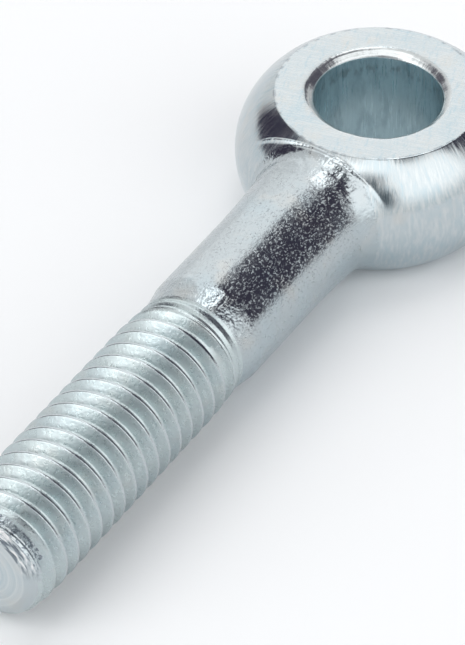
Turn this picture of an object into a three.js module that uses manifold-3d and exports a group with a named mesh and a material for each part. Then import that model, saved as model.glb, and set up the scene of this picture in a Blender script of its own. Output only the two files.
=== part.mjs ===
// A zinc-plated eye bolt of the DIN 444 form B pattern, M8 x 45: one forging, turned at the eye
// and rolled at the thread.
//
// Millimetres. The origin is the centre of the flat end of the thread. +X runs along the bolt
// towards the eye, and +Z runs along the bore of the eye.

import * as THREE from "three";
import { mergeVertices } from "three/addons/utils/BufferGeometryUtils.js";
import Module from "manifold-3d";

const wasm = await Module();
wasm.setup();

// Driving dimensions.
const LENGTH = 45; // flat end of the thread to the axis of the bore
const EYE_DIAMETER = 18;
const EYE_WIDTH = 9; // from one flat face of the eye to the other
const FACE_DIAMETER = 13.1; // outer edge of each flat face
const BORE_DIAMETER = 8.1;
const BORE_CHAMFER_WIDTH = 0.5;
const BORE_CHAMFER_DEPTH = 0.4;
const SHANK_DIAMETER = 7.84;
const THREAD_DIAMETER = 7.76;
const THREAD_LENGTH = 22;
const PITCH = 1.25;

// The 60 degree thread profile, all from the pitch.
const THREAD_DEPTH = 0.52 * PITCH;
const CREST_FLAT = PITCH / 8;
const FLANK_RUN = THREAD_DEPTH * Math.tan(Math.PI / 6);
const ROOT_FLAT = PITCH - CREST_FLAT - 2 * FLANK_RUN;
const THREAD_RADIUS = THREAD_DIAMETER / 2;
const ROOT_RADIUS = THREAD_RADIUS - THREAD_DEPTH;
const CREST_SHIFT = -0.22; // at +Y, each crest starts this far past a whole pitch

// The rounded point of the thread, and the run-out where it meets the shank: the crests sink
// and a shallow shoulder rises from them.
const END_FACE_RADIUS = 2.76;
const POINT_LENGTH = 2.9;
const RUN_OUT = 1.4;
const SHANK_RADIUS = SHANK_DIAMETER / 2;
const SHOULDER_DEPTH = 0.2;
const SHOULDER_START = THREAD_LENGTH + 1;
const SHOULDER_END = SHOULDER_START + 2.5;
const CREST_FADE = 2.5; // how far before the shoulder the crests begin to sink

// The neck swells a little before it runs into the eye.
const NECK_START = LENGTH - 14;
const NECK_END = LENGTH - 6.8;
const NECK_SWELL = 0.45;
const NECK_OVERLAP = 1.5;

// Facets.
const EYE_SEGMENTS = 72;
const EYE_ARC_STEPS = 12;
const SHANK_SEGMENTS = 48;
const NECK_STEPS = 6;
const THREAD_SEGMENTS = 32;

// The eye's outer edge bulges: an arc from one flat face, out to the full diameter, to the other.
const EYE_RADIUS = EYE_DIAMETER / 2;
const FACE_RADIUS = FACE_DIAMETER / 2;
const HALF_WIDTH = EYE_WIDTH / 2;
const BULGE = EYE_RADIUS - FACE_RADIUS;
const BULGE_RADIUS = (BULGE * BULGE + HALF_WIDTH * HALF_WIDTH) / (2 * BULGE);
const BULGE_CENTRE = EYE_RADIUS - BULGE_RADIUS;
const BULGE_ANGLE = Math.asin(HALF_WIDTH / BULGE_RADIUS);

const galvanised = new THREE.MeshStandardMaterial({
  color: 0xc3cbcf,
  roughness: 0.32,
  metalness: 1,
});

// A closed three.js geometry as a solid, with its shared corners merged and slivers dropped.
function solidFrom(geometry) {
  geometry.deleteAttribute("normal");
  geometry.deleteAttribute("uv");
  const merged = mergeVertices(geometry, 1e-4);
  const corners = merged.index.array;
  const kept = [];
  for (let i = 0; i < corners.length; i += 3) {
    const [a, b, c] = corners.subarray(i, i + 3);
    if (a !== b && b !== c && c !== a) kept.push(a, b, c);
  }
  return new wasm.Manifold(
    new wasm.Mesh({
      numProp: 3,
      vertProperties: merged.attributes.position.array,
      triVerts: new Uint32Array(kept),
    }),
  );
}

function geometryFrom(solid) {
  const mesh = solid.getMesh();
  const geometry = new THREE.BufferGeometry();
  geometry.setAttribute("position", new THREE.BufferAttribute(mesh.vertProperties, 3));
  geometry.setIndex(new THREE.BufferAttribute(mesh.triVerts, 1));
  return geometry.toNonIndexed();
}

// A solid of revolution about the bolt's axis, from [x, radius] pairs in order of x.
function turnedAboutX(outline, segments) {
  const points = outline.map(([x, radius]) => new THREE.Vector2(radius, x));
  const geometry = new THREE.LatheGeometry(points, segments);
  return solidFrom(geometry.rotateZ(-Math.PI / 2));
}

// The ring of the eye: a closed outline turned about the bore.
function eye() {
  const boreRadius = BORE_DIAMETER / 2;
  const mouthRadius = boreRadius + BORE_CHAMFER_WIDTH;
  const mouthHeight = HALF_WIDTH - BORE_CHAMFER_DEPTH;
  const outline = [
    new THREE.Vector2(boreRadius, -mouthHeight),
    new THREE.Vector2(mouthRadius, -HALF_WIDTH),
  ];
  for (let i = 0; i <= EYE_ARC_STEPS; i++) {
    const angle = BULGE_ANGLE * ((2 * i) / EYE_ARC_STEPS - 1);
    outline.push(
      new THREE.Vector2(
        BULGE_CENTRE + BULGE_RADIUS * Math.cos(angle),
        BULGE_RADIUS * Math.sin(angle),
      ),
    );
  }
  outline.push(new THREE.Vector2(mouthRadius, HALF_WIDTH));
  outline.push(new THREE.Vector2(boreRadius, mouthHeight));
  outline.push(outline[0].clone());
  const geometry = new THREE.LatheGeometry(outline, EYE_SEGMENTS);
  return solidFrom(geometry.rotateX(Math.PI / 2).translate(LENGTH, 0, 0));
}

// The plain shank, from inside the thread's run-out to inside the eye, swelling at the neck.
function shank() {
  const outline = [
    [THREAD_LENGTH, 0],
    [THREAD_LENGTH, ROOT_RADIUS],
    [SHOULDER_START, SHANK_RADIUS - SHOULDER_DEPTH],
    [(SHOULDER_START + SHOULDER_END) / 2, SHANK_RADIUS - 0.35 * SHOULDER_DEPTH],
    [SHOULDER_END, SHANK_RADIUS],
  ];
  for (let i = 0; i <= NECK_STEPS; i++) {
    const along = i / NECK_STEPS;
    outline.push([
      NECK_START + along * (NECK_END - NECK_START),
      SHANK_RADIUS + NECK_SWELL * along * along,
    ]);
  }
  const inner = NECK_END + NECK_OVERLAP;
  outline.push([inner, SHANK_RADIUS + NECK_SWELL], [inner, 0]);
  return turnedAboutX(outline, SHANK_SEGMENTS);
}

// A rod with a right-hand helical ridge, running past both ends of the thread. Each column of
// corners stands one step further round and a little further along, and the last column joins
// the first one pitch on.
function ridgedRod() {
  const profile = [
    [0, THREAD_RADIUS],
    [CREST_FLAT, THREAD_RADIUS],
    [CREST_FLAT + FLANK_RUN, ROOT_RADIUS],
    [CREST_FLAT + FLANK_RUN + ROOT_FLAT, ROOT_RADIUS],
  ];
  const perTurn = profile.length;
  const start = CREST_SHIFT - 2 * PITCH;
  const turns = Math.ceil((THREAD_LENGTH + RUN_OUT) / PITCH) + 4;
  const rows = turns * perTurn;
  const corners = [];
  for (let column = 0; column < THREAD_SEGMENTS; column++) {
    const share = column / THREAD_SEGMENTS;
    const angle = 2 * Math.PI * share;
    for (let row = 0; row < rows; row++) {
      const [offset, radius] = profile[row % perTurn];
      const along = start + (Math.floor(row / perTurn) + share) * PITCH + offset;
      corners.push(along, radius * Math.cos(angle), radius * Math.sin(angle));
    }
  }
  const startCentre = corners.length / 3;
  corners.push(start, 0, 0);
  const endCentre = startCentre + 1;
  corners.push(start + turns * PITCH, 0, 0);

  const at = (column, row) => column * rows + row;
  const faces = [];
  for (let column = 0; column < THREAD_SEGMENTS; column++) {
    const isLast = column === THREAD_SEGMENTS - 1;
    const next = isLast ? 0 : column + 1;
    const shift = isLast ? perTurn : 0;
    for (let row = 0; row + 1 + shift < rows; row++) {
      const a = at(column, row);
      const b = at(column, row + 1);
      const c = at(next, row + 1 + shift);
      const d = at(next, row + shift);
      faces.push(a, c, b, a, d, c);
    }
    faces.push(startCentre, at(next, shift), at(column, 0));
    faces.push(endCentre, at(column, rows - 1 - shift), at(next, rows - 1));
  }
  for (let row = 0; row < perTurn; row++) {
    const last = THREAD_SEGMENTS - 1;
    faces.push(startCentre, at(0, row), at(0, row + 1));
    faces.push(endCentre, at(last, rows - 1 - row), at(last, rows - 2 - row));
  }
  const geometry = new THREE.BufferGeometry();
  geometry.setAttribute("position", new THREE.Float32BufferAttribute(corners, 3));
  geometry.setIndex(faces);
  return solidFrom(geometry);
}

// The thread: the ridged rod inside an envelope with a flat end, a rounded point and sinking
// crests at the run-out.
function thread() {
  const full = THREAD_RADIUS + 0.02;
  const pointWidth = full - END_FACE_RADIUS;
  const end = THREAD_LENGTH + RUN_OUT;
  const outline = [[0, 0]];
  for (const [along, out] of [[0, 0], [0.035, 0.38], [0.19, 0.75], [0.5, 0.9], [1, 1]]) {
    outline.push([POINT_LENGTH * along, END_FACE_RADIUS + pointWidth * out]);
  }
  outline.push([SHOULDER_START - CREST_FADE, full]);
  outline.push([SHOULDER_START, SHANK_RADIUS - SHOULDER_DEPTH]);
  outline.push([end, SHANK_RADIUS - SHOULDER_DEPTH], [end, 0]);
  return ridgedRod().intersect(turnedAboutX(outline, SHANK_SEGMENTS));
}

const eyeBolt = new THREE.Mesh(
  geometryFrom(thread().add(shank()).add(eye())),
  galvanised,
);
eyeBolt.name = "eye_bolt";

const part = new THREE.Group();
part.add(eyeBolt);
export default part;
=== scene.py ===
"""A zinc-plated M8 eye bolt on a pale floor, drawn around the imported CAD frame.

The bolt is one forging, so it is drawn as one closed piece that stands for the CAD node. Shapes
are worked out in millimetres in the row frame: the origin is the centre of the thread's flat end,
+X runs along the bolt to the eye and +Z along its bore. Objects are in metres.
"""

import math

import bmesh
import bpy
import numpy as np
from mathutils import Matrix, Vector


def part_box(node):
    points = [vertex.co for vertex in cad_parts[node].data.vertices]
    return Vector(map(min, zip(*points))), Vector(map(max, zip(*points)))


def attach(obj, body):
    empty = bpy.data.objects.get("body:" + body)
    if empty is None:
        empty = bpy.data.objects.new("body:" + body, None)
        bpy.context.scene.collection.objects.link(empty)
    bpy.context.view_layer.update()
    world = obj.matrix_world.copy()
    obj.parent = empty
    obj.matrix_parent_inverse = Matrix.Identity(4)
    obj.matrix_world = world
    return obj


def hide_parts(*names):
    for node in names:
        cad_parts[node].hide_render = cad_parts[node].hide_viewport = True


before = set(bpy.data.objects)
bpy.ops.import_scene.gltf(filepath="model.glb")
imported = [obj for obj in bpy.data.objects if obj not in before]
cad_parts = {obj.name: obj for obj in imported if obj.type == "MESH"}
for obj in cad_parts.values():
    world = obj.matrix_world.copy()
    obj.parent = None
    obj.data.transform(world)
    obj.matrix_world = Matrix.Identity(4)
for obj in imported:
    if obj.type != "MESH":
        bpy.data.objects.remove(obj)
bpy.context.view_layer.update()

MM = 0.001
LOW, HIGH = (Vector(corner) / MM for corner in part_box("eye_bolt"))

# Driving dimensions, in millimetres. The eye's size and place come from the frame.
EYE_RADIUS = HIGH.y
HALF_WIDTH = HIGH.z
LENGTH = HIGH.x - EYE_RADIUS
FACE_RADIUS = 6.55
BORE_RADIUS = 4.05
MOUTH_RADIUS = 4.55
MOUTH_DEPTH = 0.4
SHANK_RADIUS = 3.92
THREAD_RADIUS = 3.88
THREAD_LENGTH = 22.0
PITCH = 1.25
ROOT_RADIUS = THREAD_RADIUS - 0.54 * PITCH
CREST_SHIFT = -0.22

# The point: a flat end, a small bevel, and crests that rise to full height.
END_FACE_RADIUS = 2.76
BEVEL_LENGTH = 0.3
BEVEL_RADIUS = 3.5
POINT_LENGTH = 2.9
TORN_LENGTH = 1.2
TORN_ABOVE = 0.3

# The eye's outer edge is an arc from one flat face, out to the full radius, to the other.
BULGE = EYE_RADIUS - FACE_RADIUS
BULGE_RADIUS = (BULGE**2 + HALF_WIDTH**2) / (2 * BULGE)
BULGE_CENTRE = EYE_RADIUS - BULGE_RADIUS
EDGE_ROUND = 0.04
BORE_EDGE_ROUND = 0.06
MOUTH_EDGE_ROUND = 0.15

# The run-out: the crests sink and split, then come a notch and a cone that rises to the shank.
LAST_CREST = THREAD_LENGTH + 0.25
LAST_CREST_RADIUS = 3.72
NOTCH_END = THREAD_LENGTH + 0.6
CONE_START = THREAD_LENGTH + 0.85
CONE_START_RADIUS = 3.645
CONE_END = THREAD_LENGTH + 2.45
CREST_FADE = 2.5
CREST_SPLIT = 0.09
CREST_SPLIT_WIDTH = 0.12

# The neck: a slight swell, a blend into the eye, and the lip that the turning tool left.
NECK_START = LENGTH - 14.0
NECK_END = LENGTH - 6.8
NECK_SWELL = 0.42
NECK_INNER = LENGTH - 5.6
CREASE_X = LENGTH - 6.7
CREASE_SKEW = 0.045
BLEND_TOP = 0.5
BLEND_SIDE = 1.1
BLEND_RISE = 0.3
LIP_HEIGHT = 0.08
LIP_WIDTH = 0.075
NECK_LIMIT = SHANK_RADIUS + NECK_SWELL + 0.35

# Mesh fineness. Columns round the bore are closer together where the neck joins (degrees).
NECK_HALF_ANGLE = 50.0
NECK_ANGLE_STEP = 0.7
PLAIN_ANGLE_STEP = 2.4
THREAD_COLUMNS = 80
TURNED_COLUMNS = 128
SHANK_RINGS = 10
SEAM_GAP = 0.2


def smoothstep(value):
    value = np.clip(value, 0.0, 1.0)
    return value * value * (3.0 - 2.0 * value)


def smooth_min(a, b, width):
    width = np.maximum(width, 1e-4)
    overlap = np.maximum(width - np.abs(a - b), 0.0)
    return np.minimum(a, b) - overlap**2 / (4.0 * width)


def smooth_max(a, b, width):
    return -smooth_min(-a, -b, width)


# ---------------------------------------------------------------- eye and neck


def neck_field(x, y, z):
    """Below zero inside the shank and neck, which stop inside the eye, short of the bore."""
    along = np.clip((x - NECK_START) / (NECK_END - NECK_START), 0.0, 1.0)
    side = np.hypot(y, z) - (SHANK_RADIUS + NECK_SWELL * along**2)
    return smooth_max(side, x - NECK_INNER, 0.05)


def crease_at(y):
    return CREASE_X + CREASE_SKEW * y


def blend_width(x, y):
    """How far the neck and the eye melt together. It is nothing on the eye's side of the crease,
    except where the crease fades out at its two ends, and it grows towards -Y."""
    past = smoothstep((crease_at(y) - x) / BLEND_RISE)
    ends = smoothstep(np.maximum((-y - 2.4) / 3.0, (y - 4.6) / 1.2))
    past = past + (1.0 - past) * ends
    sideways = smoothstep((-y - 1.0) / 4.0)
    return past * (BLEND_TOP + (BLEND_SIDE - BLEND_TOP) * sideways)


def lip(x, y, z):
    """The height of the thin lip along the crease, on the neck's upper and lower sides."""
    across = np.exp(-(((x - crease_at(y) + LIP_WIDTH) / LIP_WIDTH) ** 2))
    reach = smoothstep((5.2 - y) / 1.2) * smoothstep((y + 3.0) / 2.5)
    return LIP_HEIGHT * across * reach * smoothstep(np.abs(z) / 1.5 - 1.0)


def eye_field(x, y, z):
    """Below zero inside the eye and its neck, and about the distance in millimetres elsewhere."""
    radius = np.hypot(x - LENGTH, y)
    height = np.abs(z)
    bulge = np.hypot(np.maximum(radius - BULGE_CENTRE, 0.0), z) - BULGE_RADIUS
    body = smooth_min(bulge, neck_field(x, y, z), blend_width(x, y))
    body = smooth_max(body - lip(x, y, z), height - HALF_WIDTH, EDGE_ROUND)
    body = smooth_max(body, BORE_RADIUS - radius, BORE_EDGE_ROUND)
    # The mouth is a cone, and the tool that cut it wandered a little.
    angle = np.arctan2(y, x - LENGTH)
    wander = 0.02 * np.sin(3 * angle + 1.0) + 0.015 * np.sin(7 * angle) + 0.008 * np.sin(17 * angle)
    run = MOUTH_RADIUS - BORE_RADIUS
    slope = math.hypot(run, MOUTH_DEPTH)
    mouth = (run * (height - HALF_WIDTH) - MOUTH_DEPTH * (radius - MOUTH_RADIUS)) / slope
    return smooth_max(body, mouth + wander, MOUTH_EDGE_ROUND)


def levels(*spans):
    """Grid levels from (start, end, step) spans that follow each other."""
    found = [np.linspace(a, b, max(2, round((b - a) / step) + 1))[:-1] for a, b, step in spans]
    return np.append(np.concatenate(found), spans[-1][1])


def eye_grid():
    """Rings round the bore, finer where the surface turns sharply."""
    near, far = math.pi - math.radians(NECK_HALF_ANGLE), math.pi + math.radians(NECK_HALF_ANGLE)
    fine, plain = math.radians(NECK_ANGLE_STEP), math.radians(PLAIN_ANGLE_STEP)
    angles = levels((0.0, near, plain), (near, far, fine), (far, 2 * math.pi, plain))[:-1]
    reach = math.hypot(LENGTH - NECK_START, SHANK_RADIUS) + 0.4
    radii = levels(
        (BORE_RADIUS - 0.08, MOUTH_RADIUS + 0.07, 0.07),
        (MOUTH_RADIUS + 0.07, FACE_RADIUS - 0.2, 0.45),
        (FACE_RADIUS - 0.2, FACE_RADIUS + 0.1, 0.05),
        (FACE_RADIUS + 0.1, 8.3, 0.075),
        (8.3, EYE_RADIUS + 0.1, 0.14),
        (EYE_RADIUS + 0.1, reach, 0.3),
    )
    edge = HALF_WIDTH - MOUTH_DEPTH
    upper = levels(
        (0.0, 1.6, 0.27),
        (1.6, edge - 0.15, 0.13),
        (edge - 0.15, HALF_WIDTH - 0.1, 0.07),
        (HALF_WIDTH - 0.1, HALF_WIDTH + 0.06, 0.04),
    )
    heights = np.concatenate([-upper[:0:-1], upper])
    return angles, radii, heights


def field_on_grid(angles, radii, heights):
    angle, radius, height = np.meshgrid(angles, radii, heights, indexing="ij")
    return eye_field(LENGTH + radius * np.cos(angle), radius * np.sin(angle), height)


def crossing_points(field, angles, radii, heights):
    """For each grid cell that the surface crosses, the mean of its edge crossings, and a map
    from a cell's place in the grid to its corner number."""
    columns = len(angles)
    shape = (columns, len(radii) - 1, len(heights) - 1)
    total = np.zeros(shape + (3,))
    count = np.zeros(shape)
    steps = np.diff(np.append(angles, 2 * math.pi))
    wrapped = np.concatenate([field, field[:1]], axis=0)

    def corner(i, j, k):
        return wrapped[i : i + columns, j : j + shape[1], k : k + shape[2]]

    base = [
        np.broadcast_to(angles[:, None, None], shape),
        np.broadcast_to(radii[None, :-1, None], shape),
        np.broadcast_to(heights[None, None, :-1], shape),
    ]
    size = [
        np.broadcast_to(steps[:, None, None], shape),
        np.broadcast_to(np.diff(radii)[None, :, None], shape),
        np.broadcast_to(np.diff(heights)[None, None, :], shape),
    ]
    for axis in range(3):
        others = [a for a in range(3) if a != axis]
        for first in (0, 1):
            for second in (0, 1):
                start = [0, 0, 0]
                start[others[0]], start[others[1]] = first, second
                end = list(start)
                end[axis] = 1
                a, b = corner(*start), corner(*end)
                crossed = (a < 0) != (b < 0)
                share = np.where(crossed, a / np.where(crossed, a - b, 1.0), 0.0)
                for dimension in range(3):
                    along = share if dimension == axis else start[dimension]
                    value = base[dimension] + along * size[dimension]
                    total[..., dimension] += np.where(crossed, value, 0.0)
                count += crossed
    used = count > 0
    number = np.full(shape, -1)
    number[used] = np.arange(used.sum())
    return total[used] / count[used][:, None], number


def cell_quads(field, number):
    """One quad round each grid edge that the surface crosses, wound to face outwards."""
    columns = field.shape[0]
    quads = []
    wrapped = np.concatenate([field, field[:1]], axis=0)

    def add(mask, corners, flip):
        found = [c[mask] for c in corners]
        quad = np.stack(found, axis=1)
        quad[flip[mask]] = quad[flip[mask]][:, ::-1]
        quads.append(quad)

    # Edges that run round: the four cells around them differ in radius and height.
    a, b = wrapped[:columns, 1:-1, 1:-1], wrapped[1:, 1:-1, 1:-1]
    cells = [number[:, :-1, :-1], number[:, 1:, :-1], number[:, 1:, 1:], number[:, :-1, 1:]]
    add((a < 0) != (b < 0), cells, a < b)
    # Edges that run outwards.
    a, b = field[:, :-1, 1:-1], field[:, 1:, 1:-1]
    before = np.roll(number, 1, axis=0)
    cells = [before[:, :, :-1], before[:, :, 1:], number[:, :, 1:], number[:, :, :-1]]
    add((a < 0) != (b < 0), cells, a < b)
    # Edges that run upwards.
    a, b = field[:, 1:-1, :-1], field[:, 1:-1, 1:]
    cells = [before[:, :-1, :], number[:, :-1, :], number[:, 1:, :], before[:, 1:, :]]
    add((a < 0) != (b < 0), cells, a < b)
    return np.concatenate(quads)


def pulled_to_surface(points, rounds=4, reach=1e-3):
    """Newton steps along the field's slope, so that each corner lies on the true surface."""
    for _ in range(rounds):
        x, y, z = points.T
        value = eye_field(x, y, z)
        slope = np.stack(
            [
                eye_field(x + reach, y, z) - eye_field(x - reach, y, z),
                eye_field(x, y + reach, z) - eye_field(x, y - reach, z),
                eye_field(x, y, z + reach) - eye_field(x, y, z - reach),
            ],
            axis=1,
        ) / (2 * reach)
        steep = np.maximum((slope**2).sum(axis=1), 0.2)
        move = slope * (value / steep)[:, None]
        length = np.linalg.norm(move, axis=1)
        points = points - move * np.minimum(1.0, 0.05 / np.maximum(length, 1e-9))[:, None]
    return points


def eye_mesh():
    angles, radii, heights = eye_grid()
    field = field_on_grid(angles, radii, heights)
    places, number = crossing_points(field, angles, radii, heights)
    quads = cell_quads(field, number)
    angle, radius, height = places.T
    points = np.stack([LENGTH + radius * np.cos(angle), radius * np.sin(angle), height], axis=1)
    return mesh_from("eye", pulled_to_surface(points).tolist(), quads.tolist())


# ---------------------------------------------------------------- shank and thread


def mesh_from(name, points, faces):
    mesh = bpy.data.meshes.new(name)
    mesh.from_pydata(list(points), [], list(faces))
    piece = bpy.data.objects.new(name, mesh)
    bpy.context.scene.collection.objects.link(piece)
    return piece


def turned(name, outline, columns=TURNED_COLUMNS):
    """A closed solid turned about the bolt's axis, from (x, radius) pairs in order of x."""
    rings = [(x, radius) for x, radius in outline if radius > 0]
    angles = np.arange(columns) * (2 * math.pi / columns)
    points = [(x, r * math.cos(a), r * math.sin(a)) for x, r in rings for a in angles]
    points += [(rings[0][0], 0.0, 0.0), (rings[-1][0], 0.0, 0.0)]
    start, end = len(points) - 2, len(points) - 1
    last = (len(rings) - 1) * columns
    faces = []
    for c in range(columns):
        n = (c + 1) % columns
        faces.append((start, n, c))
        faces.append((end, last + c, last + n))
        for ring in range(len(rings) - 1):
            low, high = ring * columns, (ring + 1) * columns
            faces.append((low + c, low + n, high + n, high + c))
    return mesh_from(name, points, faces)


def thread_profile():
    """(offset, radius) pairs over one pitch: a narrow crest, straight flanks, a round root."""
    crest_half = PITCH / 16
    root_round = 0.17
    corner = 0.03
    steep = math.tan(math.radians(60))
    half = [(0.0, THREAD_RADIUS), (crest_half - corner, THREAD_RADIUS)]
    half.append((crest_half, THREAD_RADIUS - 0.35 * corner))
    for down in (corner, 0.1, 0.2, 0.32):
        half.append((crest_half + down / steep, THREAD_RADIUS - down))
    for turn in (60, 40, 20):
        lean = math.radians(turn)
        across = root_round * math.sin(lean)
        half.append((PITCH / 2 - across, ROOT_RADIUS + root_round * (1 - math.cos(lean))))
    back = [(PITCH - offset, radius) for offset, radius in half[:0:-1]]
    return half + [(PITCH / 2, ROOT_RADIUS)] + back


def crest_limit(x):
    """How high the thread stands: full, then sinking a little towards the last crest."""
    share = smoothstep((x - LAST_CREST) / CREST_FADE + 0.8)
    return THREAD_RADIUS + share * (LAST_CREST_RADIUS - THREAD_RADIUS)


def at_run_out(x, offset, radius):
    """The thread's radius once the crests sink, with a valley along the middle of each one."""
    radius = min(radius, float(crest_limit(x)))
    middle = min(offset, PITCH - offset) / CREST_SPLIT_WIDTH
    fade = float(smoothstep((x - LAST_CREST) / CREST_FADE + 1.2))
    return radius - CREST_SPLIT * fade * math.exp(-(middle**2))


def ridged_rod():
    """A rod with a right-hand helical ridge, running past both ends of the thread."""
    profile = thread_profile()
    per_turn = len(profile)
    begin = CREST_SHIFT - 2 * PITCH
    turns = math.ceil(THREAD_LENGTH / PITCH) + 5
    rows = turns * per_turn
    points = []
    for column in range(THREAD_COLUMNS):
        share = column / THREAD_COLUMNS
        angle = 2 * math.pi * share
        for row in range(rows):
            offset, radius = profile[row % per_turn]
            x = begin + (row // per_turn + share) * PITCH + offset
            radius = at_run_out(x, offset, radius)
            points.append((x, radius * math.cos(angle), radius * math.sin(angle)))
    points += [(begin, 0.0, 0.0), (begin + turns * PITCH, 0.0, 0.0)]
    start, end = len(points) - 2, len(points) - 1
    faces = []
    for column in range(THREAD_COLUMNS):
        last = column == THREAD_COLUMNS - 1
        here, there = column * rows, 0 if last else (column + 1) * rows
        shift = per_turn if last else 0
        for row in range(rows - 1 - shift):
            faces.append((here + row, there + row + shift, there + row + 1 + shift, here + row + 1))
        faces.append((start, there + shift, here))
        faces.append((end, here + rows - 1 - shift, there + rows - 1))
    base = (THREAD_COLUMNS - 1) * rows
    for row in range(per_turn):
        faces.append((start, row, row + 1))
        faces.append((end, base + rows - 1 - row, base + rows - 2 - row))
    return mesh_from("ridged_rod", points, faces)


def point_envelope():
    """The rod's outer limit: a flat end, a rounded point, clear of the crests, then the notch."""
    full = THREAD_RADIUS + 0.02
    outline = [(0.0, END_FACE_RADIUS - 0.05), (0.0, END_FACE_RADIUS), (0.02, END_FACE_RADIUS + 0.05)]
    outline += [(BEVEL_LENGTH, BEVEL_RADIUS), (BEVEL_LENGTH + 0.03, BEVEL_RADIUS + 0.02)]
    outline += [(0.6, 3.65), (1.0, 3.73), (1.5, 3.79), (2.0, 3.84)]
    outline += [(POINT_LENGTH, full), (LAST_CREST - 0.02, full)]
    outline += [(LAST_CREST, LAST_CREST_RADIUS), (NOTCH_END - 0.05, 3.5)]
    return turned("envelope", outline)


def shank():
    """The plain shank, from under the last crests, over a low ridge, the notch and the cone, to
    the seam with the neck."""
    outline = [(LAST_CREST - 1.6, ROOT_RADIUS - 0.05)]
    outline += [(LAST_CREST - 0.7, 3.48), (LAST_CREST - 0.52, 3.62)]
    outline += [(LAST_CREST - 0.42, 3.62), (LAST_CREST - 0.28, 3.55), (LAST_CREST - 0.08, 3.66)]
    outline += [(LAST_CREST, 3.67), (NOTCH_END, 3.54), (NOTCH_END + 0.1, 3.56)]
    outline += [(CONE_START - 0.03, CONE_START_RADIUS - 0.01)]
    for share in (0.02, 0.3, 0.65, 0.97, 1.0):
        x = CONE_START + share * (CONE_END - CONE_START)
        outline.append((x, CONE_START_RADIUS + share * (SHANK_RADIUS - CONE_START_RADIUS)))
    plain = np.linspace(CONE_END + 0.06, NECK_START - SEAM_GAP, SHANK_RINGS)
    outline += [(float(x), SHANK_RADIUS) for x in plain]
    return turned("shank", outline)


def combine(base, other, operation):
    """A boolean on base, whose mesh keeps the result. The other object is removed."""
    modifier = base.modifiers.new("join", "BOOLEAN")
    modifier.operation = operation
    modifier.solver = "MANIFOLD"
    modifier.object = other
    graph = bpy.context.evaluated_depsgraph_get()
    base.data = bpy.data.meshes.new_from_object(base.evaluated_get(graph))
    base.modifiers.clear()
    bpy.data.objects.remove(other)


def loop_round_axis(corners):
    """Corners of an open end, in order of their angle about the bolt's axis."""
    return sorted(corners, key=lambda corner: math.atan2(corner.co.z, corner.co.y))


def stitch(work, shank_end, neck_end):
    """Fills the gap between two open ends that have different numbers of corners."""
    shanks, necks = len(shank_end), len(neck_end)

    def turn(corners, index):
        corner = corners[index % len(corners)].co
        return math.atan2(corner.z, corner.y) + 2 * math.pi * (index // len(corners))

    i = j = 0
    while i < shanks or j < necks:
        here, there = shank_end[i % shanks], neck_end[j % necks]
        if j == necks or i < shanks and turn(shank_end, i + 1) < turn(neck_end, j + 1):
            i += 1
            work.faces.new((here, shank_end[i % shanks], there))
        else:
            j += 1
            work.faces.new((here, neck_end[j % necks], there))


def thin_bore(work):
    """Joins the bore's short faces into tall ones: its wall is straight, so nothing is lost."""
    top = HALF_WIDTH - MOUTH_DEPTH - 0.12

    def on_wall(corner):
        radius = math.hypot(corner.co.x - LENGTH, corner.co.y)
        return radius < BORE_RADIUS + 0.01 and abs(corner.co.z) < top

    level = []
    for edge in work.edges:
        a, b = edge.verts
        if on_wall(a) and on_wall(b) and abs(a.co.z - b.co.z) < 0.01:
            level.append(edge)
    bmesh.ops.dissolve_edges(work, edges=level, use_verts=True)


def join_head(rod, head):
    """One closed mesh of the threaded rod and the head, joined by a strip of faces."""
    work = bmesh.new()
    work.from_mesh(head.data)
    everything = work.verts[:] + work.edges[:] + work.faces[:]
    seam = {"plane_co": (NECK_START, 0, 0), "plane_no": (-1, 0, 0)}
    bmesh.ops.bisect_plane(work, geom=everything, clear_outer=True, dist=1e-5, **seam)
    thin_bore(work)
    work.from_mesh(rod.data)
    cap_x = NECK_START - SEAM_GAP
    cap = [f for f in work.faces if all(abs(c.co.x - cap_x) < 1e-4 for c in f.verts)]
    bmesh.ops.delete(work, geom=cap, context="FACES")
    bmesh.ops.delete(work, geom=[c for c in work.verts if not c.link_faces], context="VERTS")
    ends = [corner for corner in work.verts if corner.is_boundary]
    middle = NECK_START - SEAM_GAP / 2
    shank_end = loop_round_axis([c for c in ends if c.co.x < middle])
    neck_end = loop_round_axis([c for c in ends if c.co.x > middle])
    stitch(work, shank_end, neck_end)
    bmesh.ops.recalc_face_normals(work, faces=work.faces[:])
    return work


def thread_region(centre, normal):
    out = math.hypot(centre.y, centre.z)
    if centre.x < 0.02 and normal.x < -0.95:
        return "end"
    if centre.x < BEVEL_LENGTH + 0.02 or centre.x < TORN_LENGTH and centre.z > TORN_ABOVE:
        return "point"
    return "crest" if out > crest_limit(centre.x) - 0.05 else "thread"


def region(centre, normal):
    """Which finish a face has, from where it is and which way it faces."""
    from_bore = math.hypot(centre.x - LENGTH, centre.y)
    if centre.x < CONE_START:
        return thread_region(centre, normal)
    if centre.x < crease_at(centre.y) and from_bore > FACE_RADIUS:
        on_neck = math.hypot(centre.y, centre.z) < NECK_LIMIT
        return "neck" if on_neck else "barrel"
    if from_bore < BORE_RADIUS + 0.02:
        return "bore"
    if from_bore < MOUTH_RADIUS + 0.03:
        return "mouth"
    return "face" if abs(normal.z) > 0.985 else "barrel"


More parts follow.
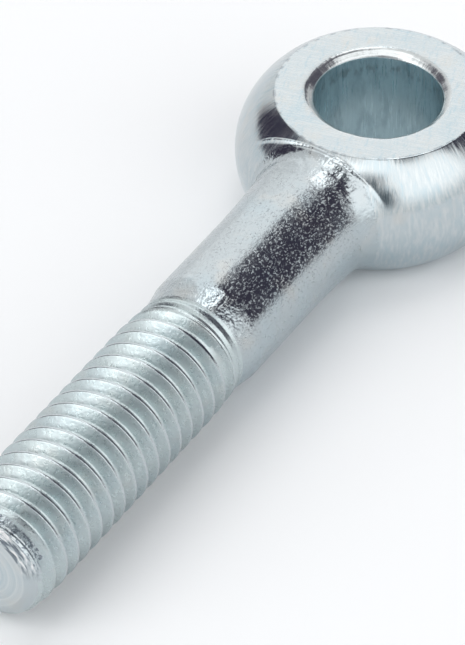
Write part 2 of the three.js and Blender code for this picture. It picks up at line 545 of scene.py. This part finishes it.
def bolt():
    rod = ridged_rod()
    combine(rod, point_envelope(), "INTERSECT")
    combine(rod, shank(), "UNION")
    head = eye_mesh()
    work = join_head(rod, head)
    finishes = {
        "face": brushed_face(),
        "mouth": cut_mouth(),
        "bore": drilled_bore(),
        "barrel": turned_barrel(),
        "neck": forged_neck(),
        "thread": rolled_thread(),
        "crest": thread_crest(),
        "point": rough_point(),
        "end": turned_end(),
    }
    slots = list(finishes)
    for face in work.faces:
        face.material_index = slots.index(region(face.calc_center_median(), face.normal))
    mesh = bpy.data.meshes.new("zinc_plated_eye_bolt")
    work.to_mesh(mesh)
    work.free()
    bpy.data.objects.remove(rod)
    bpy.data.objects.remove(head)
    for finish in finishes.values():
        mesh.materials.append(finish)
    mesh.transform(Matrix.Scale(MM, 4))
    mesh.shade_smooth()
    mesh.set_sharp_from_angle(angle=math.radians(32))
    piece = bpy.data.objects.new(mesh.name, mesh)
    bpy.context.scene.collection.objects.link(piece)
    return piece


# ---------------------------------------------------------------- finishes


def add_node(tree, kind, values=(), named=None, **settings):
    """Adds a shader node. A value that is a socket is linked, None is left, others are set."""
    node = tree.nodes.new("ShaderNode" + kind)
    for key, value in settings.items():
        setattr(node, key, value)
    pairs = list(zip(node.inputs, values))
    pairs += [(node.inputs[name], value) for name, value in (named or {}).items()]
    for socket, value in pairs:
        if isinstance(value, bpy.types.NodeSocket):
            tree.links.new(value, socket)
        elif value is not None:
            socket.default_value = value
    return node


def mixed(tree, share, under, over):
    """The colour under, or over where share is 1."""
    values = (share, None, None, None, None, None, under, (*over, 1.0))
    return add_node(tree, "Mix", values, data_type="RGBA").outputs[2]


class Finish:
    """A zinc-plated finish. Its detail is noise in the bolt's own millimetres."""

    def __init__(self, name, colour, roughness):
        self.material = bpy.data.materials.new(name)
        self.material.use_nodes = True
        self.tree = self.material.node_tree
        self.surface = self.tree.nodes["Principled BSDF"]
        self.surface.inputs["Metallic"].default_value = 1.0
        self.surface.inputs["Roughness"].default_value = roughness
        self.surface.inputs["Base Color"].default_value = (*colour, 1.0)
        self.colour = (*colour, 1.0)
        self.normal = None
        metres = add_node(self.tree, "TexCoord").outputs["Object"]
        self.mm = self.vector("MULTIPLY", metres, (1 / MM,) * 3)
        self.x, self.y, self.z = add_node(self.tree, "SeparateXYZ", (self.mm,)).outputs

    def vector(self, operation, *values):
        return add_node(self.tree, "VectorMath", values, operation=operation).outputs["Vector"]

    def math(self, operation, *values):
        return add_node(self.tree, "Math", values, operation=operation).outputs[0]

    def product(self, a, b):
        return self.math("MULTIPLY", a, b)

    def length(self, vector):
        return add_node(self.tree, "VectorMath", (vector,), operation="LENGTH").outputs["Value"]

    def scaled(self, *factors):
        return self.vector("MULTIPLY", self.mm, factors)

    def out_from_bore(self):
        return self.vector("MULTIPLY", self.vector("SUBTRACT", self.mm, (LENGTH, 0, 0)), (1, 1, 0))

    def around_bore(self, along):
        """Position on a drum of the eye's radius, with the height scaled by along."""
        outwards = self.vector("NORMALIZE", self.out_from_bore())
        drum = self.vector("MULTIPLY", outwards, (EYE_RADIUS,) * 3)
        return self.vector("ADD", drum, self.scaled(0, 0, along))

    def noise(self, where, scale, detail=2.0, roughness=0.5):
        return add_node(self.tree, "TexNoise", (where, None, scale, detail, roughness)).outputs[0]

    def ramp(self, value, low, high, start=0.0, end=1.0):
        values = (value, low, high, start, end)
        node = add_node(self.tree, "MapRange", values, interpolation_type="SMOOTHSTEP")
        return node.outputs["Result"]

    def bump(self, height, depth):
        """Adds relief. The height runs from 0 to 1 over a depth in millimetres."""
        named = {"Height": height, "Distance": depth * MM, "Normal": self.normal}
        self.normal = add_node(self.tree, "Bump", named=named).outputs[0]

    def tint(self, share, colour):
        self.colour = mixed(self.tree, share, self.colour, colour)

    def roughen(self, share, low, high):
        """Links the roughness: low where share is under 0.3, high where it is over 0.7."""
        rough = self.ramp(share, 0.3, 0.7, low, high)
        self.tree.links.new(rough, self.surface.inputs["Roughness"])

    def done(self):
        if isinstance(self.colour, bpy.types.NodeSocket):
            self.tree.links.new(self.colour, self.surface.inputs["Base Color"])
        if self.normal:
            self.tree.links.new(self.normal, self.surface.inputs["Normal"])
        return self.material


ZINC = (0.49, 0.54, 0.56)
ZINC_PALE = (0.6, 0.63, 0.635)
ZINC_BLUE = (0.41, 0.505, 0.55)
ZINC_WARM = (0.54, 0.535, 0.51)
ZINC_TEAL = (0.49, 0.56, 0.57)
# The dark colour of painted shade and painted dark reflections.
PAINTED_DARK = (0.2, 0.23, 0.26)


def stain(finish, strength=1.0):
    """The plate's faint clouds: bluer in places, a little warmer in others."""
    blue = finish.noise(finish.mm, 0.35, 2.0)
    finish.tint(finish.ramp(blue, 0.45, 0.7, 0.0, 0.5 * strength), ZINC_BLUE)
    warm = finish.noise(finish.vector("ADD", finish.mm, (40, 7, 3)), 0.55, 3.0)
    finish.tint(finish.ramp(warm, 0.52, 0.75, 0.0, 0.6 * strength), ZINC_WARM)


def painted_shade_below(finish):
    """Painted shade: the plate is tinted darker and bluer towards the underside, standing in for a
    dimmer reflection from below.
    """
    finish.tint(finish.ramp(finish.z, -3.0, 2.0, 0.75, 0.0), ZINC_BLUE)


def painted_edge_line(finish, inner, outer):
    """A painted dark reflection: a thin, broken dark line where the flat ring meets the eye's outer
    edge.
    """
    away = finish.length(finish.out_from_bore())
    inside = finish.ramp(away, FACE_RADIUS + inner - 0.04, FACE_RADIUS + inner + 0.01)
    outside = finish.ramp(away, FACE_RADIUS + outer, FACE_RADIUS + outer + 0.05, 1.0, 0.0)
    broken = finish.ramp(finish.noise(finish.around_bore(1.0), 1.3, 3.0), 0.45, 0.62, 0.0, 0.5)
    share = finish.product(finish.product(inside, outside), broken)
    finish.tint(share, PAINTED_DARK)


def brushed_face():
    """The flat ring: fine parallel lines from the belt that faced it, and a few scratches."""
    finish = Finish("brushed_face", ZINC, 0.24)
    stain(finish)
    turned_mm = add_node(
        finish.tree,
        "VectorRotate",
        named={"Vector": finish.mm, "Angle": math.radians(-15)},
        rotation_type="Z_AXIS",
    ).outputs[0]
    lines = finish.noise(finish.vector("MULTIPLY", turned_mm, (9, 0.5, 1)), 1.0, 3.0, 0.7)
    broad = finish.noise(finish.vector("MULTIPLY", turned_mm, (2.2, 0.25, 1)), 1.0, 2.0)
    flecks = finish.noise(finish.vector("MULTIPLY", turned_mm, (1.2, 5, 1)), 1.0, 4.0, 0.7)
    finish.tint(finish.ramp(lines, 0.4, 0.7, 0.0, 0.8), ZINC_PALE)
    finish.tint(finish.ramp(flecks, 0.52, 0.68, 0.0, 0.8), ZINC_BLUE)
    finish.tint(finish.ramp(flecks, 0.3, 0.44, 0.6, 0.0), ZINC_WARM)
    # Painted dark reflection along the ring's outer edge.
    painted_edge_line(finish, -0.1, 0.2)
    finish.bump(lines, 0.006)
    finish.bump(broad, 0.014)
    finish.bump(flecks, 0.008)
    finish.roughen(lines, 0.2, 0.34)
    return finish.done()


def cut_mouth():
    """The chamfer: satin, with fine rings and a little chatter from the countersink."""
    finish = Finish("cut_mouth", ZINC_PALE, 0.27)
    rings = finish.noise(finish.scaled(0.15, 0.15, 9), 1.0, 2.0)
    chatter = finish.noise(finish.around_bore(1.0), 1.1, 3.0)
    finish.bump(rings, 0.02)
    finish.bump(chatter, 0.04)
    return finish.done()


def drilled_bore():
    """The bore: fine marks along it, a lighter and bluer plate as painted light, and a patchy band
    of painted shade below the upper mouth.
    """
    # Painted light: the bore's plate is lighter and bluer than the rest of the zinc, to brighten the
    # dim hollow.
    finish = Finish("drilled_bore", (0.66, 0.795, 0.835), 0.26)
    streaks = finish.noise(finish.around_bore(0.12), 3.2, 4.0, 0.65)
    finish.tint(finish.ramp(streaks, 0.35, 0.7, 0.0, 0.25), (0.5, 0.63, 0.68))
    clouds = finish.noise(finish.around_bore(0.7), 0.5, 4.0, 0.6)
    finish.tint(finish.ramp(clouds, 0.44, 0.64, 0.0, 0.55), (0.4, 0.52, 0.57))
    # Painted shade: a patchy dark band just below the upper mouth.
    away = finish.math("ABSOLUTE", finish.math("SUBTRACT", finish.z, HALF_WIDTH - 1.35))
    patchy = finish.ramp(finish.noise(finish.around_bore(1.0), 0.8, 4.0, 0.65), 0.45, 0.65)
    mouth_shade = finish.product(finish.ramp(away, 0.05, 0.6, 0.5, 0.0), patchy)
    finish.tint(mouth_shade, PAINTED_DARK)
    finish.bump(streaks, 0.006)
    finish.roughen(streaks, 0.24, 0.4)
    return finish.done()


def turned_barrel():
    """The eye's outer edge: satin, with fine marks and flecks that run from face to face."""
    finish = Finish("turned_barrel", ZINC, 0.18)
    stain(finish)
    # Painted shade: darker and bluer towards the underside.
    painted_shade_below(finish)
    marks = finish.noise(finish.around_bore(0.28), 4.5, 4.0, 0.65)
    broad = finish.noise(finish.around_bore(0.3), 0.9, 2.0)
    finish.tint(finish.ramp(marks, 0.42, 0.7, 0.0, 0.75), ZINC_PALE)
    finish.tint(finish.ramp(marks, 0.3, 0.46, 0.7, 0.0), ZINC_BLUE)
    # Painted dark reflection along the ring's outer edge.
    painted_edge_line(finish, -0.02, 0.07)
    near_face = finish.ramp(finish.math("ABSOLUTE", finish.z), HALF_WIDTH - 0.8, HALF_WIDTH - 0.2)
    far_side = finish.ramp(finish.x, LENGTH - 3.5, LENGTH + 1.5, 0.25, 1.0)
    ticks = finish.noise(finish.around_bore(0.25), 2.2, 3.0, 0.6)
    ticks = finish.product(ticks, finish.product(near_face, far_side))
    finish.bump(marks, 0.006)
    finish.bump(broad, 0.01)
    finish.bump(ticks, 0.045)
    finish.roughen(marks, 0.14, 0.24)
    return finish.done()


def forged_neck():
    """The neck and shank: smooth plate over fine pimples of forging scale."""
    finish = Finish("forged_neck", (0.44, 0.485, 0.505), 0.16)
    stain(finish, 0.7)
    # Painted shade: darker and bluer towards the underside.
    painted_shade_below(finish)
    along = finish.scaled(0.7, 1, 1)
    coarse = finish.noise(along, 1.3, 2.0)
    waves = finish.noise(along, 1.0, 3.0, 0.6)
    grain = finish.noise(along, 4.0, 3.0, 0.6)
    pimples = finish.ramp(finish.noise(along, 7.5, 3.0, 0.6), 0.53, 0.7)
    clouds = finish.ramp(finish.noise(along, 2.4, 4.0, 0.65), 0.42, 0.66)
    near_crease = finish.ramp(finish.x, LENGTH - 9.4, LENGTH - 8.2)
    near_cone = finish.ramp(finish.x, CONE_START + 1.0, CONE_END + 0.5, 1.0, 0.0)
    calm = finish.math("SUBTRACT", 1.0, finish.product(near_crease, 0.7))
    finish.bump(coarse, 0.014)
    finish.bump(finish.product(waves, finish.math("ADD", near_crease, near_cone)), 0.1)
    finish.bump(finish.product(grain, calm), 0.014)
    finish.bump(finish.product(pimples, calm), 0.01)
    gathered = finish.product(pimples, finish.math("MULTIPLY_ADD", clouds, 0.6, 0.4))
    matt = finish.math("MULTIPLY_ADD", finish.product(gathered, calm), 0.25, 0.3)
    finish.roughen(finish.math("MULTIPLY_ADD", clouds, 0.12, matt), 0.15, 0.6)
    return finish.done()


def rolled_thread():
    """The thread's flanks: rolled, satin and a little greener than the rest."""
    finish = Finish("rolled_thread", ZINC_TEAL, 0.3)
    stain(finish, 0.6)
    grain = finish.noise(finish.mm, 3.0, 4.0, 0.65)
    hammered = finish.noise(finish.mm, 5.5, 3.0, 0.6)
    finish.tint(finish.ramp(grain, 0.45, 0.65, 0.0, 0.5), ZINC)
    finish.bump(grain, 0.014)
    finish.bump(hammered, 0.022)
    finish.roughen(grain, 0.24, 0.36)
    return finish.done()


def thread_crest():
    """The crests: brighter than the flanks, with small nicks."""
    finish = Finish("thread_crest", ZINC, 0.16)
    nicks = finish.noise(finish.mm, 2.2, 3.0, 0.65)
    finish.bump(nicks, 0.03)
    return finish.done()


def rough_point():
    """The bevel and the first groove: the bar tore in strokes when it was cut, then was plated. On
    the upper side the strokes are tinted with painted dark reflections and painted highlights, and
    the groove's specks with painted shade.
    """
    finish = Finish("rough_point", ZINC, 0.2)
    stain(finish, 0.6)
    upper = finish.ramp(finish.z, 0.2, 1.6)
    bevel = finish.ramp(finish.x, BEVEL_LENGTH, BEVEL_LENGTH + 0.1, 1.0, 0.0)
    upper_bevel = finish.product(bevel, upper)
    groove = finish.product(upper, finish.math("SUBTRACT", 1.0, bevel))
    strokes = finish.noise(finish.scaled(9, 0.8, 0.8), 1.0, 3.0, 0.6)
    specks = finish.noise(finish.scaled(1.4, 1, 1), 3.6, 3.0, 0.65)
    # Painted dark reflections and painted highlights on the upper bevel's strokes.
    painted_dark_strokes = finish.product(finish.ramp(strokes, 0.5, 0.56), upper_bevel)
    painted_glint_strokes = finish.product(finish.ramp(strokes, 0.4, 0.46, 0.9, 0.0), upper_bevel)
    finish.tint(painted_dark_strokes, PAINTED_DARK)
    finish.tint(painted_glint_strokes, (0.85, 0.85, 0.85))
    # Painted shade in the first groove's specks.
    finish.tint(finish.product(finish.ramp(specks, 0.5, 0.56), groove), PAINTED_DARK)
    finish.bump(finish.product(strokes, bevel), 0.08)
    finish.bump(finish.product(specks, groove), 0.05)
    return finish.done()


def turned_end():
    """The flat end: rings from facing."""
    finish = Finish("turned_end", ZINC, 0.24)
    stain(finish)
    out = finish.length(finish.scaled(0, 1, 1))
    rings = finish.noise(add_node(finish.tree, "CombineXYZ", (out,)).outputs[0], 5.0, 3.0, 0.6)
    finish.tint(finish.ramp(rings, 0.4, 0.65, 0.0, 0.8), ZINC_PALE)
    finish.bump(rings, 0.03)
    finish.bump(finish.noise(finish.mm, 1.5, 3.0), 0.03)
    return finish.done()


# ---------------------------------------------------------------- floor, surroundings, camera


FLOOR_REACH = 600.0
FLOOR_GAP = 0.02


def floor():
    reach, height = FLOOR_REACH * MM, (LOW.z - FLOOR_GAP) * MM
    corners = [(reach * x, reach * y, height) for x, y in ((-1, -1), (1, -1), (1, 1), (-1, 1))]
    piece = mesh_from("floor", corners, [(0, 1, 2, 3)])
    material = bpy.data.materials.new("pale_floor")
    material.use_nodes = True
    surface = material.node_tree.nodes["Principled BSDF"]
    surface.inputs["Base Color"].default_value = (0.93, 0.94, 0.95, 1.0)
    surface.inputs["Roughness"].default_value = 0.8
    piece.data.materials.append(material)


class Sky:
    """The studio round the bolt: a pale surround with soft-edged panels, set by direction."""

    def __init__(self, colour):
        world = bpy.data.worlds.new("studio")
        bpy.context.scene.world = world
        world.use_nodes = True
        self.tree = world.node_tree
        self.tree.nodes.clear()
        where = add_node(self.tree, "TexCoord").outputs["Generated"]
        self.x, self.y, self.z = add_node(self.tree, "SeparateXYZ", (where,)).outputs
        level = self.math("ADD", self.math("POWER", self.x, 2.0), self.math("POWER", self.y, 2.0))
        self.flat = self.math("SQRT", level)
        self.colour = (*colour, 1.0)

    def math(self, operation, *values):
        return add_node(self.tree, "Math", values, operation=operation).outputs[0]

    def ramp(self, value, low, high):
        node = add_node(self.tree, "MapRange", (value, low, high), interpolation_type="SMOOTHSTEP")
        return node.outputs["Result"]

    def panel(self, bearings, elevations, colour, soft=(6, 4)):
        """A panel between two bearings from +X towards +Y and two elevations, in degrees."""
        middle, half = sum(bearings) / 2, (bearings[1] - bearings[0]) / 2
        toward_x = self.math("MULTIPLY", self.x, math.cos(math.radians(middle)))
        toward_y = self.math("MULTIPLY", self.y, math.sin(math.radians(middle)))
        cosine = self.math("DIVIDE", self.math("ADD", toward_x, toward_y), self.flat)
        outer = math.cos(math.radians(half + soft[0]))
        inner = math.cos(math.radians(max(half - soft[0], 0)))
        mask = self.ramp(cosine, outer, inner)
        for edge, sign in zip(elevations, (1, -1)):
            low = math.sin(math.radians(edge - sign * soft[1]))
            high = math.sin(math.radians(edge + sign * soft[1]))
            mask = self.math("MULTIPLY", mask, self.ramp(self.z, low, high))
        self.colour = mixed(self.tree, mask, self.colour, colour)

    def done(self):
        lit = add_node(self.tree, "Background", (self.colour,))
        add_node(self.tree, "OutputWorld", (lit.outputs[0],))


DARK_PANEL = (0.06, 0.053, 0.082)


def grey(level, blue=0.0):
    return (level * (1 - blue), level, level * (1 + blue))


def studio():
    sky = Sky(grey(0.95))
    # Bright panels, low round the bolt.
    sky.panel((-180, -112), (52, 78), grey(1.8))
    sky.panel((-142, -66), (14, 64), grey(1.7), (7, 13))
    sky.panel((10, 50), (2, 60), grey(1.42), (12, 4))
    sky.panel((136, 184), (6, 62), grey(2.5), (8, 4))
    # A grey one beyond the thread's end, and two small dark ones beside it.
    sky.panel((-190, -146), (-2, 50), grey(0.6, 0.04), (6, 6))
    sky.panel((-161, -147), (30, 50), grey(0.12, 0.15), (4, 6))
    sky.panel((-156, -136), (9, 33), grey(0.12, 0.15), (5, 7))
    # Dark ones on both sides of the bolt, which give the plate its dark bands.
    sky.panel((78, 115), (3, 47), (0.06, 0.05, 0.08), (3, 1.5))
    sky.panel((-116, -28), (64, 84), grey(0.15, 0.1), (6, 4))
    sky.panel((-60, -24), (40, 68), (0.066, 0.06, 0.09), (4, 4))
    sky.panel((-60, -22), (3, 56), DARK_PANEL, (4, 1.5))
    sky.panel((-24, 11), (16, 56), DARK_PANEL, (5, 3))
    # The bright ceiling.
    sky.panel((-20, 30), (59, 84), grey(2.6), (9, 3))
    sky.panel((-180, 180), (85, 92), grey(6.5), (6, 2))
    sky.done()


# Millimetres and degrees: the bearing goes from +X towards +Y.
CAMERA_AIM = Vector((25.94, -0.97, 0.0))
CAMERA_DISTANCE = 333.7
CAMERA_BEARING = -58.58
CAMERA_ELEVATION = 41.42
CAMERA_ROLL = 0.22
CAMERA_LENS = 305.6


def camera():
    bearing = math.radians(CAMERA_BEARING)
    elevation = math.radians(CAMERA_ELEVATION)
    roll = math.radians(CAMERA_ROLL)
    level = Vector((math.cos(bearing), math.sin(bearing), 0.0))
    ahead = Vector((-math.sin(bearing), math.cos(bearing), 0.0)) * math.cos(elevation)
    ahead.z = -math.sin(elevation)
    rise = level.cross(ahead)
    right = level * math.cos(roll) + rise * math.sin(roll)
    up = rise * math.cos(roll) - level * math.sin(roll)
    data = bpy.data.cameras.new("camera")
    data.lens = CAMERA_LENS
    data.sensor_width = 36
    data.clip_start = 0.01
    data.clip_end = 20
    shot = bpy.data.objects.new("camera", data)
    bpy.context.scene.collection.objects.link(shot)
    turn = Matrix((right, up, -ahead)).transposed().to_4x4()
    place = (CAMERA_AIM - ahead * CAMERA_DISTANCE) * MM
    shot.matrix_world = Matrix.Translation(place) @ turn
    bpy.context.scene.camera = shot


camera()
floor()
studio()
bpy.context.scene.view_settings.view_transform = "Standard"

piece = bolt()
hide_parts("eye_bolt")
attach(piece, "root")
